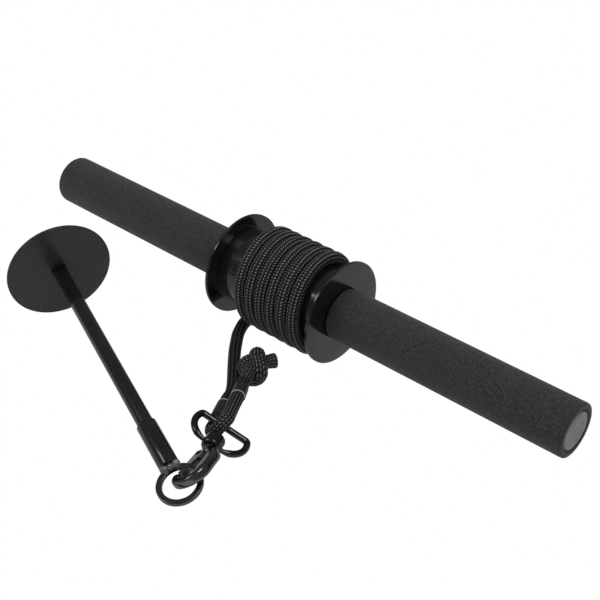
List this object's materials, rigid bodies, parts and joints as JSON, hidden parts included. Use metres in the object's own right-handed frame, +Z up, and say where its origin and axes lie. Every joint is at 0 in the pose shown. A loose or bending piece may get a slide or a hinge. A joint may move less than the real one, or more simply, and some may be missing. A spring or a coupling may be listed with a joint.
{
  "type": "wrist roller with rope and loading pin",
  "caption": "Wrist roller: foam-gripped steel bar with a flanged rope spool, and a braided rope that ends in a swivel snap hook holding a ring-topped loading pin with a round base disc.",
  "frame": {"origin": "bottom centre of the box round everything but the rope, on the floor below the bar's middle line", "axes": "+X along the bar, +Y from the loading pin towards the bar, +Z up"},
  "size_m": [0.433, 0.2146, 0.0705],
  "materials": {
    "grip_foam": "matte closed-cell foam with a fine grain",
    "black_paint": "gloss black coated steel",
    "satin_paint": "satin dark grey coated steel",
    "bare_steel": "plain drawn steel",
    "rope_braid": "black braided polyester",
    "shrink_band": "smooth black shrink tube",
    "black_plate": "black nickel plate",
    "gate_steel": "pressed bright steel",
    "plug_plastic": "pale grey moulded plastic"
  },
  "bodies": {
    "roller": {"core_tube": "bare_steel", "drum": "black_paint", "flange_left": "black_paint", "flange_right": "black_paint", "grip_left": "grip_foam", "grip_right": "grip_foam", "plug_left": "plug_plastic", "plug_right": "plug_plastic", "rope_winding": "rope_braid", "rope_stopper": "rope_braid"},
    "free_rope": {"rope_lead": "rope_braid", "rope_bight": "rope_braid", "rope_tail": "rope_braid", "rope_knot": "rope_braid", "band_standing": "shrink_band", "band_tail": "shrink_band"},
    "eye": {"swivel_eye": "black_plate"},
    "hook": {"hook_body": "black_plate", "stud_washer": "bare_steel", "gate_rivet": "gate_steel"},
    "gate": {"gate": "gate_steel", "gate_spring": "bare_steel"},
    "pin": {"ring": "black_plate", "ring_weld": "black_paint", "sleeve": "black_paint", "rod": "black_paint", "disc": "satin_paint", "disc_screw": "bare_steel"}
  },
  "joints": [
    {"name": "spool_turn", "type": "hinge", "parent": "roller", "child": "free_rope", "pos_m": [0, 0.07196, 0.03519], "axis": [1, 0, 0], "continuous": true, "deforming": ["rope_lead"]},
    {"name": "eye_swing", "type": "hinge", "parent": "free_rope", "child": "eye", "pos_m": [0.05067, -0.04176, 0.00879], "axis": [0.8683, 0.3098, -0.3874], "range_deg": [-60, 60]},
    {"name": "hook_swivel", "type": "hinge", "parent": "eye", "child": "hook", "pos_m": [0.05826, -0.06251, 0.00921], "axis": [0.3436, -0.9389, 0.0192], "range_deg": [-135, 135]},
    {"name": "gate_open", "type": "hinge", "parent": "hook", "child": "gate", "pos_m": [0.05726, -0.06888, 0.007], "axis": [-0.5652, -0.1904, 0.8027], "range_deg": [0, 5], "stiffness_Nm_per_rad": 0.02, "springref_deg": -20.05},
    {"name": "pin_link", "type": "hinge", "parent": "hook", "child": "pin", "pos_m": [0.0665, -0.09404, 0.00651], "axis": [0.0051, -0.358, 0.9337], "range_deg": [-5, 200]}
  ]
}
